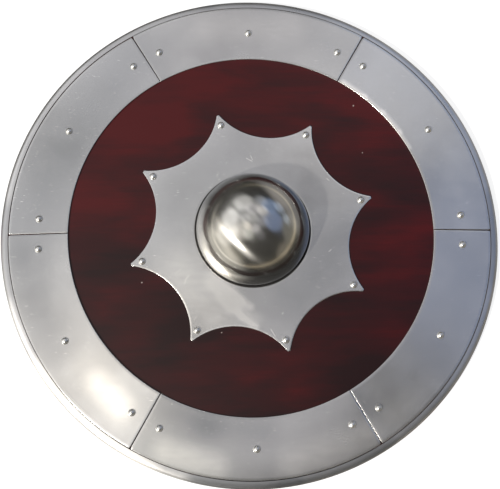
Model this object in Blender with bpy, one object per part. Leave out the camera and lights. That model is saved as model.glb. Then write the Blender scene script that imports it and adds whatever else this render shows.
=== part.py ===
"""Round bossed shield, lying on its rim with the boss up.

A shallow dished board of stained wood carries six steel plates round its border, an
eight-pointed steel plate in the middle, and a domed steel boss that stands up through
that plate over a round hand hole. A rolled steel edging wraps the board's edge. Domed
rivets hold the plates, and two of them also hold the wooden grip across the back.

Lengths are in metres. Z is the shield's axis and the face looks along +Z. The origin is
on the axis, level with the foot of the edging.

Most pieces follow the dish. Their places are given by a radius, which is measured from
the axis on the board's face, and a height along the normal of that face.
"""

import math

import bmesh
import bpy
from mathutils import Matrix, Vector

# The whole shield and its board
SHIELD_RADIUS = 0.305
DISH_DEPTH = 0.018
BOARD_THICKNESS = 0.009

# The rolled edging
EDGING_WIDTH = 0.010
EDGING_THICKNESS = 0.0012

# The border plates, which meet end to end
PLATE_COUNT = 6
PLATE_WIDTH = 0.0724
PLATE_THICKNESS = 0.0012
PLATE_EDGE_GAP = 0.0008
SEAM_GAP = 0.0008
END_RIVET_OFFSET = 0.0186

# The boss
BOSS_RADIUS = 0.0685
BOSS_HEIGHT = 0.0675
BOSS_THICKNESS = 0.0012
BOSS_FLANGE_WIDTH = 0.0155
HAND_HOLE_LEDGE = 0.0073

# The pointed plate round the boss, with widths from its hole's edge to valleys and tips
STAR_POINTS = 8
STAR_TURN = math.radians(15.4)
STAR_BOSS_GAP = 0.0015
STAR_VALLEY_WIDTH = 0.0478
STAR_TIP_REACH = 0.0816
STAR_TIP_WIDTH = 0.003
STAR_RIVET_INSET = 0.0136

# Rivets
RIVET_SHANK_RADIUS = 0.0020
RIVET_HEAD_LIP = 0.0025
RIVET_HEAD_HEIGHT = 0.0038
RIVET_TAIL_LIP = 0.0014
RIVET_TAIL_HEIGHT = 0.0016

# The grip across the back
GRIP_END_WIDTH = 0.034
GRIP_END_THICKNESS = 0.0098
GRIP_END_PAST = 0.012
GRIP_HAND_WIDTH = 0.027
GRIP_CHAMFER = 0.0035

# Clearance between pieces that touch
FIT = 0.0003

# Faceting
TURN_STEPS = 60
RING_STEPS = 3
EDGE_STEPS = 4
BOSS_STEPS = 40
DOME_STEPS = 6
STAR_ARC_STEPS = 6
RIVET_SIDES = 8
GRIP_STATIONS = 12
MERGE_DISTANCE = 1e-6
SMOOTH_ANGLE = math.radians(35)

# The dish, worked out from the sizes above
CURVE_RADIUS = (SHIELD_RADIUS**2 + DISH_DEPTH**2) / (2 * DISH_DEPTH)
BOARD_MIDDLE = -BOARD_THICKNESS / 2
EDGING_OUTER_RADIUS = SHIELD_RADIUS * CURVE_RADIUS / (CURVE_RADIUS + BOARD_MIDDLE)
EDGING_INNER_RADIUS = EDGING_OUTER_RADIUS - EDGING_WIDTH
EDGING_HALF_HEIGHT = BOARD_THICKNESS / 2 + FIT + EDGING_THICKNESS
FOOT_HEIGHT = BOARD_MIDDLE - EDGING_HALF_HEIGHT
FOOT_SLOPE = math.asin(EDGING_INNER_RADIUS / CURVE_RADIUS)
CENTRE_Z = -(CURVE_RADIUS + FOOT_HEIGHT) * math.cos(FOOT_SLOPE)

# Places on the dish
PLATE_OUTER_RADIUS = EDGING_INNER_RADIUS - PLATE_EDGE_GAP
PLATE_INNER_RADIUS = PLATE_OUTER_RADIUS - PLATE_WIDTH
PLATE_RIVET_RADIUS = (PLATE_INNER_RADIUS + PLATE_OUTER_RADIUS) / 2
PLATE_UNDERSIDE = FIT
PLATE_TOP = PLATE_UNDERSIDE + PLATE_THICKNESS
BOSS_INNER_RADIUS = BOSS_RADIUS - BOSS_THICKNESS
FLANGE_RADIUS = BOSS_RADIUS + BOSS_FLANGE_WIDTH
REBATE_RADIUS = FLANGE_RADIUS + FIT
REBATE_DEPTH = BOSS_THICKNESS + FIT
HAND_HOLE_RADIUS = BOSS_INNER_RADIUS - HAND_HOLE_LEDGE
STAR_HOLE_RADIUS = BOSS_RADIUS + STAR_BOSS_GAP
STAR_VALLEY_RADIUS = STAR_HOLE_RADIUS + STAR_VALLEY_WIDTH
STAR_TIP_RADIUS = STAR_HOLE_RADIUS + STAR_TIP_REACH
STAR_RIVET_RADIUS = STAR_TIP_RADIUS - STAR_RIVET_INSET
RIVET_HOLE_RADIUS = RIVET_SHANK_RADIUS + FIT
GRIP_REACH = STAR_RIVET_RADIUS + GRIP_END_PAST
GRIP_RIVET_POINTS = (0, STAR_POINTS // 2)


def on_dish(radius, height):
    """Distance from the axis and Z of the place at that radius and height."""
    slope = math.asin(radius / CURVE_RADIUS)
    reach = CURVE_RADIUS + height
    return reach * math.sin(slope), CENTRE_Z + reach * math.cos(slope)


def dish_point(radius, angle, height):
    """The same place as a point, at that angle round the axis."""
    out, z = on_dish(radius, height)
    return Vector((out * math.cos(angle), out * math.sin(angle), z))


def dish_frame(radius, angle):
    """Frame on the board's face, with its Z along the face's normal."""
    slope = math.asin(radius / CURVE_RADIUS)
    turn = Matrix.Rotation(angle, 4, "Z") @ Matrix.Rotation(slope, 4, "Y")
    return Matrix.Translation(dish_point(radius, angle, 0)) @ turn


def clear_scene():
    for old in list(bpy.data.objects):
        bpy.data.objects.remove(old)


def make_material(name, colour, roughness, metallic):
    material = bpy.data.materials.new(name)
    material.use_nodes = True
    shader = material.node_tree.nodes["Principled BSDF"]
    shader.inputs["Base Color"].default_value = (*colour, 1.0)
    shader.inputs["Roughness"].default_value = roughness
    shader.inputs["Metallic"].default_value = metallic
    return material


def add_object(name, mesh, matrix=None):
    made = bpy.data.objects.new(name, mesh)
    bpy.context.scene.collection.objects.link(made)
    if matrix is not None:
        made.matrix_world = matrix
    return made


def finished_mesh(bm, name, material):
    """Writes the bmesh to a mesh, with its faces pointing out and smooth where it is round."""
    bmesh.ops.recalc_face_normals(bm, faces=bm.faces)
    mesh = bpy.data.meshes.new(name)
    bm.to_mesh(mesh)
    bm.free()
    mesh.materials.append(material)
    mesh.shade_smooth()
    mesh.set_sharp_from_angle(angle=SMOOTH_ANGLE)
    return mesh


def turned_mesh(name, profile, material, steps, closed=True, sweep=math.tau):
    """Turns a profile of (distance from the axis, Z) round Z, and caps a part turn's ends."""
    bm = bmesh.new()
    corners = [bm.verts.new((out, 0, z)) for out, z in profile]
    edges = [bm.edges.new(pair) for pair in zip(corners, corners[1:])]
    if closed:
        edges.append(bm.edges.new((corners[-1], corners[0])))
    whole = sweep == math.tau
    bmesh.ops.spin(
        bm, geom=corners + edges, cent=(0, 0, 0), axis=(0, 0, 1),
        angle=sweep, steps=steps, use_merge=whole,
    )
    bmesh.ops.remove_doubles(bm, verts=bm.verts, dist=MERGE_DISTANCE)
    if not whole:
        ends = [edge for edge in bm.edges if edge.is_boundary]
        bmesh.ops.holes_fill(bm, edges=ends, sides=len(profile))
    return finished_mesh(bm, name, material)


def rim_arc(width, half_height):
    """Half an ellipse round the board's edge, from the face over the edge to the back."""
    arc = []
    for step in range(EDGE_STEPS + 1):
        angle = math.pi / 2 - math.pi * step / EDGE_STEPS
        radius = EDGING_INNER_RADIUS + width * math.cos(angle)
        arc.append(on_dish(radius, BOARD_MIDDLE + half_height * math.sin(angle)))
    return arc


def rivet_places():
    """(radius, angle) of each border rivet, and of each rivet in the pointed plate."""
    plate_angle = math.tau / PLATE_COUNT
    end_angle = END_RIVET_OFFSET / PLATE_RIVET_RADIUS
    border = [
        (PLATE_RIVET_RADIUS, plate * plate_angle + angle)
        for plate in range(PLATE_COUNT)
        for angle in (end_angle, plate_angle / 2, plate_angle - end_angle)
    ]
    star = [
        (STAR_RIVET_RADIUS, STAR_TURN + math.tau * point / STAR_POINTS)
        for point in range(STAR_POINTS)
    ]
    return border, star


def make_hole_cutter():
    """One guide object that holds a cylinder for each rivet hole."""
    bm = bmesh.new()
    border, star = rivet_places()
    reach = BOARD_THICKNESS + 2 * GRIP_END_THICKNESS
    for radius, angle in border + star:
        bmesh.ops.create_cone(
            bm, cap_ends=True, segments=RIVET_SIDES, radius1=RIVET_HOLE_RADIUS,
            radius2=RIVET_HOLE_RADIUS, depth=2 * reach, matrix=dish_frame(radius, angle),
        )
    mesh = bpy.data.meshes.new("rivet_hole_cutter")
    bm.to_mesh(mesh)
    bm.free()
    cutter = add_object("rivet_hole_cutter", mesh)
    cutter.hide_render = True
    cutter.display_type = "WIRE"
    return cutter


def drill(piece, cutter):
    holes = piece.modifiers.new("rivet_holes", "BOOLEAN")
    holes.operation = "DIFFERENCE"
    holes.solver = "EXACT"
    holes.object = cutter


def make_board(material, cutter):
    """The dished wooden disc, with a hand hole and a rebate for the boss's flange."""
    step = (PLATE_INNER_RADIUS - REBATE_RADIUS) / RING_STEPS
    rings = [REBATE_RADIUS + step * ring for ring in range(RING_STEPS + 1)]
    rebate = [on_dish(radius, -REBATE_DEPTH) for radius in (HAND_HOLE_RADIUS, REBATE_RADIUS)]
    face = [on_dish(radius, 0) for radius in rings]
    edge = rim_arc(EDGING_WIDTH - EDGING_THICKNESS - FIT, BOARD_THICKNESS / 2)
    back = [on_dish(radius, -BOARD_THICKNESS) for radius in [*reversed(rings), HAND_HOLE_RADIUS]]
    mesh = turned_mesh("board", rebate + face + edge + back, material, TURN_STEPS)
    drill(add_object("board", mesh), cutter)


def make_edging(material):
    """Rolled steel strip round the board's edge, levelled underneath into a flat foot."""
    outside = rim_arc(EDGING_WIDTH, EDGING_HALF_HEIGHT)
    outside[-2] = (outside[-2][0], outside[-1][1])
    inside = rim_arc(EDGING_WIDTH - EDGING_THICKNESS, EDGING_HALF_HEIGHT - EDGING_THICKNESS)
    mesh = turned_mesh("rim_edging", outside + inside[::-1], material, TURN_STEPS)
    add_object("rim_edging", mesh)


def make_border_plates(material, cutter):
    """Curved steel plates that meet end to end round the border."""
    profile = [
        on_dish(PLATE_INNER_RADIUS, PLATE_UNDERSIDE),
        on_dish(PLATE_OUTER_RADIUS, PLATE_UNDERSIDE),
        on_dish(PLATE_OUTER_RADIUS, PLATE_TOP),
        on_dish(PLATE_INNER_RADIUS, PLATE_TOP),
    ]
    plate_angle = math.tau / PLATE_COUNT
    gap_angle = SEAM_GAP / PLATE_RIVET_RADIUS
    mesh = turned_mesh(
        "border_plate", profile, material, TURN_STEPS // PLATE_COUNT,
        sweep=plate_angle - gap_angle,
    )
    for plate in range(PLATE_COUNT):
        turn = Matrix.Rotation(plate * plate_angle + gap_angle / 2, 4, "Z")
        drill(add_object(f"border_plate_{plate + 1}", mesh, turn), cutter)


def star_outline():
    """(radius, angle) round the pointed plate: blunt tips joined by hollow round cuts."""
    pitch = math.tau / STAR_POINTS
    corner_angle = pitch / 2 - STAR_TIP_WIDTH / 2 / STAR_TIP_RADIUS
    along = STAR_TIP_RADIUS * math.cos(corner_angle)
    across = STAR_TIP_RADIUS * math.sin(corner_angle)
    centre = (STAR_TIP_RADIUS**2 - STAR_VALLEY_RADIUS**2) / (2 * (along - STAR_VALLEY_RADIUS))
    cut_radius = centre - STAR_VALLEY_RADIUS
    half_sweep = math.asin(across / cut_radius)
    outline = []
    for point in range(STAR_POINTS):
        middle = STAR_TURN + pitch * (point + 0.5)
        for step in range(STAR_ARC_STEPS + 1):
            sweep = half_sweep * (2 * step / STAR_ARC_STEPS - 1)
            x = centre - cut_radius * math.cos(sweep)
            y = cut_radius * math.sin(sweep)
            outline.append((math.hypot(x, y), middle + math.atan2(y, x)))
    return outline


def make_star_plate(material, cutter):
    """The pointed plate in the middle, with a round hole for the boss."""
    bm = bmesh.new()
    outline = star_outline()
    loops = []
    for height, shares in ((PLATE_UNDERSIDE, (0, 0.5, 1)), (PLATE_TOP, (1, 0.5, 0))):
        for share in shares:
            loop = []
            for radius, angle in outline:
                place = STAR_HOLE_RADIUS + (radius - STAR_HOLE_RADIUS) * share
                loop.append(bm.verts.new(dish_point(place, angle, height)))
            loops.append(loop)
    for loop, after in zip(loops, loops[1:] + loops[:1]):
        for i in range(len(outline)):
            bm.faces.new((loop[i - 1], loop[i], after[i], after[i - 1]))
    drill(add_object("star_plate", finished_mesh(bm, "star_plate", material)), cutter)


def make_boss(material):
    """Hollow dome with a flange that lies in the board's rebate, under the pointed plate."""
    foot_out, foot_z = on_dish(BOSS_RADIUS, 0)
    inner_height = BOSS_HEIGHT - BOSS_THICKNESS
    quarter = [math.pi / 2 * step / DOME_STEPS for step in range(DOME_STEPS + 1)]
    outside = [
        (foot_out * math.cos(angle), foot_z + BOSS_HEIGHT * math.sin(angle))
        for angle in reversed(quarter)
    ]
    flange = [
        on_dish(FLANGE_RADIUS, 0),
        on_dish(FLANGE_RADIUS, -BOSS_THICKNESS),
        on_dish(BOSS_INNER_RADIUS, -BOSS_THICKNESS),
    ]
    inside = [
        (BOSS_INNER_RADIUS * math.cos(angle), foot_z + inner_height * math.sin(angle))
        for angle in quarter
    ]
    profile = outside + flange + inside
    add_object("boss", turned_mesh("boss", profile, material, BOSS_STEPS, closed=False))


def rivet_mesh(name, tail_seat, material):
    """Domed head on the plate, a shank, and a low cone where the far end is set."""
    head_radius = RIVET_SHANK_RADIUS + RIVET_HEAD_LIP
    head_seat = PLATE_TOP + FIT
    head = [
        (head_radius * math.sin(angle), head_seat + RIVET_HEAD_HEIGHT * math.cos(angle))
        for angle in (0, math.pi / 4, math.pi / 2)
    ]
    shank = [
        (RIVET_SHANK_RADIUS, head_seat),
        (RIVET_SHANK_RADIUS, tail_seat),
        (RIVET_SHANK_RADIUS + RIVET_TAIL_LIP, tail_seat),
        (0, tail_seat - RIVET_TAIL_HEIGHT),
    ]
    return turned_mesh(name, head + shank, material, RIVET_SIDES, closed=False)


def grip_back_z():
    """Z of the grip's flat back, which its thickness at the ends sets."""
    return on_dish(GRIP_REACH, -BOARD_THICKNESS - FIT)[1] - GRIP_END_THICKNESS


def make_rivets(material):
    """Every rivet, with longer ones where the grip lies behind the board."""
    border, star = rivet_places()
    slope = math.asin(STAR_RIVET_RADIUS / CURVE_RADIUS)
    grip_depth = (on_dish(STAR_RIVET_RADIUS, 0)[1] - grip_back_z()) / math.cos(slope)
    tilt_room = (RIVET_SHANK_RADIUS + RIVET_TAIL_LIP) * math.tan(slope)
    short = rivet_mesh("short_rivet", -BOARD_THICKNESS - FIT, material)
    long = rivet_mesh("long_rivet", -grip_depth - tilt_room - FIT, material)
    for number, (radius, angle) in enumerate(border, 1):
        add_object(f"border_rivet_{number:02d}", short, dish_frame(radius, angle))
    for point, (radius, angle) in enumerate(star):
        mesh = long if point in GRIP_RIVET_POINTS else short
        add_object(f"star_rivet_{point + 1}", mesh, dish_frame(radius, angle))


def grip_half_width(along):
    """Half the grip's width, waisted over the hand hole and round at the ends."""
    share = min(1.0, abs(along) / HAND_HOLE_RADIUS)
    ease = share * share * (3 - 2 * share)
    half = (GRIP_HAND_WIDTH + (GRIP_END_WIDTH - GRIP_HAND_WIDTH) * ease) / 2
    past = abs(along) - (GRIP_REACH - GRIP_END_WIDTH / 2)
    if past > 0:
        half = math.sqrt(max(half * half - past * past, (2 * GRIP_CHAMFER) ** 2))
    return half


def make_grip(material, cutter):
    """Wooden bar across the hand hole: its front follows the board's back, its back is flat."""
    bm = bmesh.new()
    low = grip_back_z()
    sections = []
    for station in range(GRIP_STATIONS + 1):
        # Stations crowd towards the ends, where the outline is round
        along = -GRIP_REACH * math.cos(math.pi * station / GRIP_STATIONS)
        half = grip_half_width(along)
        top = on_dish(math.hypot(along, half), -BOARD_THICKNESS - FIT)[1]
        corners = [
            (half, top - GRIP_CHAMFER), (half - GRIP_CHAMFER, top),
            (GRIP_CHAMFER - half, top), (-half, top - GRIP_CHAMFER),
            (-half, low + GRIP_CHAMFER), (GRIP_CHAMFER - half, low),
            (half - GRIP_CHAMFER, low), (half, low + GRIP_CHAMFER),
        ]
        sections.append([bm.verts.new((along, across, z)) for across, z in corners])
    for section, after in zip(sections, sections[1:]):
        for i in range(len(section)):
            bm.faces.new((section[i - 1], section[i], after[i], after[i - 1]))
    bm.faces.new(sections[0])
    bm.faces.new(sections[-1])
    turn = Matrix.Rotation(STAR_TURN, 4, "Z")
    drill(add_object("grip", finished_mesh(bm, "grip", material), turn), cutter)


def main():
    clear_scene()
    plate_steel = make_material("plate_steel", (0.60, 0.60, 0.61), 0.32, 1.0)
    boss_steel = make_material("boss_steel", (0.52, 0.51, 0.48), 0.20, 1.0)
    rivet_steel = make_material("rivet_steel", (0.66, 0.66, 0.65), 0.22, 1.0)
    red_wood = make_material("red_wood", (0.085, 0.016, 0.017), 0.35, 0.0)
    grip_wood = make_material("grip_wood", (0.10, 0.035, 0.020), 0.50, 0.0)
    cutter = make_hole_cutter()
    make_board(red_wood, cutter)
    make_edging(plate_steel)
    make_border_plates(plate_steel, cutter)
    make_star_plate(plate_steel, cutter)
    make_boss(boss_steel)
    make_rivets(rivet_steel)
    make_grip(grip_wood, cutter)


main()
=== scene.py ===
"""Looks of a round bossed shield that lies on its rim with the boss up.

The CAD solids are the frame. Each one is replaced by a finer mesh with rounded edges and
a procedural material, in the same place and at the same size. Lengths are in metres.
"""

import math
import random

import bpy
from mathutils import Matrix, Vector, noise


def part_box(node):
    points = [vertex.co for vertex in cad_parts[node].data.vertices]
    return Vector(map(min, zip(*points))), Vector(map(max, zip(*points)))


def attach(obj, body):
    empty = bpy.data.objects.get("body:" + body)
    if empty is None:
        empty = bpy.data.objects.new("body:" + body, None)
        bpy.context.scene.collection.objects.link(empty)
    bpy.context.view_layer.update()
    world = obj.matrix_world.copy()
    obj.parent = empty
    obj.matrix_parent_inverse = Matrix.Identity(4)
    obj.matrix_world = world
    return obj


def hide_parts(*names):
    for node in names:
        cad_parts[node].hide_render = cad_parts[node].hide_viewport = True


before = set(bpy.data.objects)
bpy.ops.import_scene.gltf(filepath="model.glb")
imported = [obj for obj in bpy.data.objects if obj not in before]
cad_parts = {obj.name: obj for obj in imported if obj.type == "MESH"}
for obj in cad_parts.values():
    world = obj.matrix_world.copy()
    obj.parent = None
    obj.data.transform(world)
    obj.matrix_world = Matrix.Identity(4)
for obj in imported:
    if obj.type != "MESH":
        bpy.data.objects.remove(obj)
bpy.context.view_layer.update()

# Sizes of the solids that the finer pieces repeat
SHIELD_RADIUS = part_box("rim_edging")[1].x
DISH_DEPTH = 0.018
BOARD_THICKNESS = 0.009
SHEET = 0.0012
FIT = 0.0003
EDGING_WIDTH = 0.010
PLATE_COUNT = 6
PLATE_WIDTH = 0.0724
PLATE_EDGE_GAP = 0.0008
SEAM_GAP = 0.0008
END_RIVET_OFFSET = 0.0186
BOSS_RADIUS = 0.0685
BOSS_HEIGHT = 0.0675
BOSS_FLANGE_WIDTH = 0.0155
HAND_HOLE_LEDGE = 0.0073
STAR_POINTS = 8
STAR_TURN = math.radians(15.4)
STAR_BOSS_GAP = 0.0015
STAR_VALLEY_WIDTH = 0.0478
STAR_TIP_REACH = 0.0816
STAR_TIP_WIDTH = 0.003
STAR_RIVET_INSET = 0.0136
RIVET_HEAD_RADIUS = 0.0045
RIVET_HEAD_HEIGHT = 0.0038
RIVET_SHANK_RADIUS = 0.0020
RIVET_TAIL_RADIUS = 0.0034
RIVET_TAIL_HEIGHT = 0.0016
GRIP_END_WIDTH = 0.034
GRIP_END_THICKNESS = 0.0098
GRIP_END_PAST = 0.012
GRIP_HAND_WIDTH = 0.027
GRIP_HAND_REACH = 0.045
GRIP_TIP_WIDTH = 0.010

# Places worked out from them
CURVE_RADIUS = (SHIELD_RADIUS**2 + DISH_DEPTH**2) / (2 * DISH_DEPTH)
BOARD_MIDDLE = -BOARD_THICKNESS / 2
EDGING_OUTER_RADIUS = SHIELD_RADIUS * CURVE_RADIUS / (CURVE_RADIUS + BOARD_MIDDLE)
EDGING_INNER_RADIUS = EDGING_OUTER_RADIUS - EDGING_WIDTH
EDGING_HALF_HEIGHT = BOARD_THICKNESS / 2 + FIT + SHEET
FOOT_HEIGHT = BOARD_MIDDLE - EDGING_HALF_HEIGHT
FOOT_SLOPE = math.asin(EDGING_INNER_RADIUS / CURVE_RADIUS)
CENTRE_Z = -(CURVE_RADIUS + FOOT_HEIGHT) * math.cos(FOOT_SLOPE)
PLATE_OUTER_RADIUS = EDGING_INNER_RADIUS - PLATE_EDGE_GAP
PLATE_INNER_RADIUS = PLATE_OUTER_RADIUS - PLATE_WIDTH
PLATE_RIVET_RADIUS = (PLATE_INNER_RADIUS + PLATE_OUTER_RADIUS) / 2
PLATE_UNDERSIDE = FIT
PLATE_TOP = PLATE_UNDERSIDE + SHEET
FLANGE_RADIUS = BOSS_RADIUS + BOSS_FLANGE_WIDTH
HAND_HOLE_RADIUS = BOSS_RADIUS - SHEET - HAND_HOLE_LEDGE
STAR_HOLE_RADIUS = BOSS_RADIUS + STAR_BOSS_GAP
STAR_VALLEY_RADIUS = STAR_HOLE_RADIUS + STAR_VALLEY_WIDTH
STAR_TIP_RADIUS = STAR_HOLE_RADIUS + STAR_TIP_REACH
STAR_RIVET_RADIUS = STAR_TIP_RADIUS - STAR_RIVET_INSET
GRIP_REACH = STAR_RIVET_RADIUS + GRIP_END_PAST

# The photograph's view, fitted to the rim, the seams and the rivets
IMAGE_WIDTH_PX = 500
FOCAL_LENGTH_PX = 929.1
CAMERA_DISTANCE = 1.136
CAMERA_TILT = math.radians(11.66)
CAMERA_TURN = math.radians(-13.19)
CAMERA_ROLL = math.radians(-1.14)
CAMERA_AIM_X = -0.0028
CAMERA_AIM_Y = -0.0143

# Rounding of the sheet's cut edges, as distances in from the edge
EDGE_ROUND = 0.0006
EDGE_OFFSETS = (0.0, 0.00012, 0.00032, EDGE_ROUND)

# Shapes finer than the solids'. The powers square a section's corners where they are under 1
EDGING_POWER = 0.72
GRIP_END_POWER = 0.34
GRIP_HAND_POWER = 0.64
RIM_ARC_SHARE = 0.9999
HAND_HOLE_ROUND = 0.002
PLATE_CORNER = 0.0016
BOSS_FILLET = 0.001
BOSS_FILLET_MIDDLE = BOSS_FILLET * 0.3
DOME_FOOT = math.radians(0.9)
DOME_TOP = math.radians(89.6)
RIVET_LIP = 0.0003
RIVET_CROWN = 0.02
RIVET_TAIL_SWEEP = math.radians(85)
RIVET_TAIL_GAP = FIT / 3

# Edges that turn more than this stay sharp in the shading
SHARP_ANGLE = math.radians(50)

# Waviness of the sheet: its height, the length over which it changes, and where in the
# noise each sheet's waves are taken from
SHEET_WAVE = 0.0001
PLATE_WAVE_LENGTH = 0.05
STAR_WAVE_LENGTH = 0.045
STAR_WAVE_SEED = 11
SEED_STEPS = (7.3, 3.1, 5.7)

# How small the rivets come out, as shares of their full sizes
RIVET_SEED = 8
HEAD_RADIUS_SHARE = (0.97, 1.0)
HEAD_HEIGHT_SHARE = (0.95, 1.0)
TAIL_RADIUS_SHARE = (0.92, 1.0)
TAIL_HEIGHT_SHARE = (0.8, 0.95)

# The lie of each border plate on the board, as slopes in degrees: its tilt down towards the
# rim, the bow of its cross-section and the bend of its outer part
PLATE_LIES = (
    (0.0, -1.0, 0.0),
    (-0.4, 0.0, -1.0),
    (0.3, 0.0, 0.0),
    (0.4, -1.6, -0.5),
    (-0.4, 1.6, 1.0),
    (0.0, -0.8, -0.8),
)

# How far each border plate's first and last end springs up, and over what length
END_LIFTS = (
    (0.0001, 0.0001),
    (0.0001, 0.00025),
    (0.0000, 0.00045),
    (0.0000, 0.00015),
    (0.0000, 0.0000),
    (0.0006, 0.0001),
)
END_REACH = 0.03

# Direction of the brush marks, in degrees from +X, and the UV map that follows them
PLATE_BRUSH_TURNS = (120, 180, 240, 300, 0, 60)
STAR_BRUSH_TURN = 30
BOSS_BRUSH_TURN = 43
BRUSH_MAP = "brush"

# Noise scales of the steel, per metre: brush marks along the map and round the rim,
# blotches, and the gentle waves that bend its reflections
BRUSH_SCALE = (30.0, 1400.0, 1.0)
ROUND_BRUSH_SCALE = (300.0, 300.0, 30.0)
BLOTCH_SCALE = 22.0
SWELL_SCALE = 1 / 0.035

# What the brush marks do: the roughness that they add, the strength and depth of their
# relief, and the share of a turn that takes the glints from along them to across them
BRUSH_ROUGHNESS = 0.04
BRUSH_STRENGTH = 0.1
BRUSH_DEPTH = 0.00003
GLINT_TURN = 0.25

# How much darker and lighter the blotches are than the steel's colour
BLOTCH_TONES = (0.93, 1.02)

# The ranges in which nearly all of a noise lies, and most of it
NOISE_RANGE = (0.3, 0.7)
NOISE_MIDDLE = (0.35, 0.65)

# Painted shade on the boss: heights over which it grows darker towards its foot, and the lit
# side on which it doesn't, with the distances from the middle over which that begins
FOOT_SHADE_HEIGHTS = (0.060, 0.078)
LIT_SIDE_WAY = (-0.91, -0.42, 0.0)
LIT_SIDE_REACH = (0.030, 0.060)

# Streaks of the stained wood: their noise scales per metre and their weights in the stain,
# the shares of the stain's dark, middle and red tones, and the fine streaks' relief
BROAD_STREAKS = (8.0, 20.0, 12.0)
MIDDLING_STREAKS = (10.0, 100.0, 30.0)
FINE_STREAKS = (30.0, 520.0, 60.0)
BROAD_WEIGHT = 0.68
MIDDLING_WEIGHT = 0.20
FINE_WEIGHT = 0.12
BROAD_DISTORTION = 0.3
STAIN_SHARES = (0.36, 0.5, 0.66)
GRAIN_STRENGTH = 0.15
GRAIN_DEPTH = 0.0001

# The way in which the board's stain grows redder, and the varnish
FADE_WAY = (-0.34, 0.94, 0.0)
VARNISH_SPREAD = 0.06
VARNISH_IOR = 1.36

# Tones of the marks on the sheet and on the wood: scratches and painted highlights, painted shade,
# and specks
SCRATCH_AND_HIGHLIGHT_COLOUR = (0.98, 0.96, 0.93)
PAINTED_SHADE_COLOUR = (0.30, 0.31, 0.33)
SPECK_COLOUR = (0.42, 0.36, 0.34)

# Fine scratches: the direction in degrees and the place in the noise of each layer, and
# the part of the noise that shows
SCUFF_LAYERS = ((20, 0.0), (75, 3.1), (130, 7.7))
SCUFF_SCALE = (110.0, 1500.0, 1.0)
SCUFF_RANGE = (0.74, 0.80)

# Unevenness of the painted highlights
PAINTED_HIGHLIGHT_TURN = math.radians(35)
PAINTED_HIGHLIGHT_SCALE = (45.0, 130.0, 1.0)
PAINTED_HIGHLIGHT_SHARE = (0.90, 1.10)

# Marks on the sheet and the wood, in the tables below: both ends as (x, y), half width and
# strength

# The larger scratches of the star plate
STAR_SCRATCHES = (
    ((-0.0827, -0.0648), (-0.0811, -0.0592), 0.0010, 1.0),
    ((-0.0811, -0.0592), (-0.0772, -0.0547), 0.0010, 1.0),
    ((-0.0921, -0.0515), (-0.0871, -0.0469), 0.0008, 0.7),
    ((-0.0713, -0.1074), (-0.0682, -0.1034), 0.0008, 0.8),
    ((-0.0430, -0.1061), (-0.0418, -0.1021), 0.0008, 0.8),
    ((0.0193, -0.1205), (0.0242, -0.1290), 0.0010, 0.8),
    ((0.0330, -0.1026), (0.0342, -0.1008), 0.0009, 0.7),
    ((0.1175, -0.0205), (0.1215, -0.0190), 0.0008, 0.8),
    ((0.0915, -0.0275), (0.0945, -0.0250), 0.0008, 0.8),
    ((-0.0060, 0.0900), (0.0010, 0.0860), 0.0009, 0.7),
    ((-0.0010, 0.0935), (0.0015, 0.0880), 0.0008, 0.6),
    ((0.0925, 0.0640), (0.0950, 0.0610), 0.0008, 0.7),
)

# Painted highlight: the bright band that runs down the star plate from the boss, and a lighter part
# beside it, painted into its colour
STAR_PAINTED_HIGHLIGHT = (
    ((-0.0480, -0.0600), (-0.0250, -0.0880), 0.0190, 0.70),
    ((-0.0330, -0.0800), (-0.0030, -0.1100), 0.0180, 0.45),
    ((-0.0430, -0.0655), (-0.0040, -0.0930), 0.0075, 0.55),
    ((-0.0336, -0.0846), (-0.0147, -0.1055), 0.0060, 0.60),
    ((-0.0147, -0.1055), (0.0020, -0.1168), 0.0060, 0.60),
    ((-0.0850, -0.0550), (-0.0480, -0.1020), 0.0550, 0.66),
)

# Painted shade on the star plate, which makes parts of it duller
STAR_PAINTED_SHADE = (
    ((-0.1000, 0.0300), (-0.0200, 0.1000), 0.0550, 0.28),
    ((0.0450, -0.0800), (0.1100, -0.0100), 0.0500, 0.30),
)

# Painted highlights on the border plates, which make parts of them brighter
PLATE_PAINTED_HIGHLIGHT = (
    ((-0.1959, -0.1622), (-0.1559, -0.2115), 0.0380, 0.25),
    ((-0.1850, -0.1790), (-0.1580, -0.2070), 0.0260, 0.62),
    ((-0.1060, -0.2604), (-0.0482, -0.2774), 0.0260, 0.70),
    ((0.0450, -0.2780), (0.1271, -0.2495), 0.0340, 0.62),
    ((0.1400, -0.2425), (0.2081, -0.1874), 0.0260, 0.30),
    ((0.0520, 0.2660), (-0.0520, 0.2660), 0.0360, 0.26),
    ((0.2650, 0.0150), (0.2520, 0.0820), 0.0450, 0.12),
    ((0.1187, 0.1900), (0.1440, 0.1716), 0.0075, 0.85),
    ((0.1440, 0.1716), (0.1665, 0.1499), 0.0065, 0.70),
    ((0.1665, 0.1499), (0.1857, 0.1253), 0.0075, 0.85),
    ((0.1857, 0.1253), (0.1978, 0.1052), 0.0055, 0.60),
)

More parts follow.
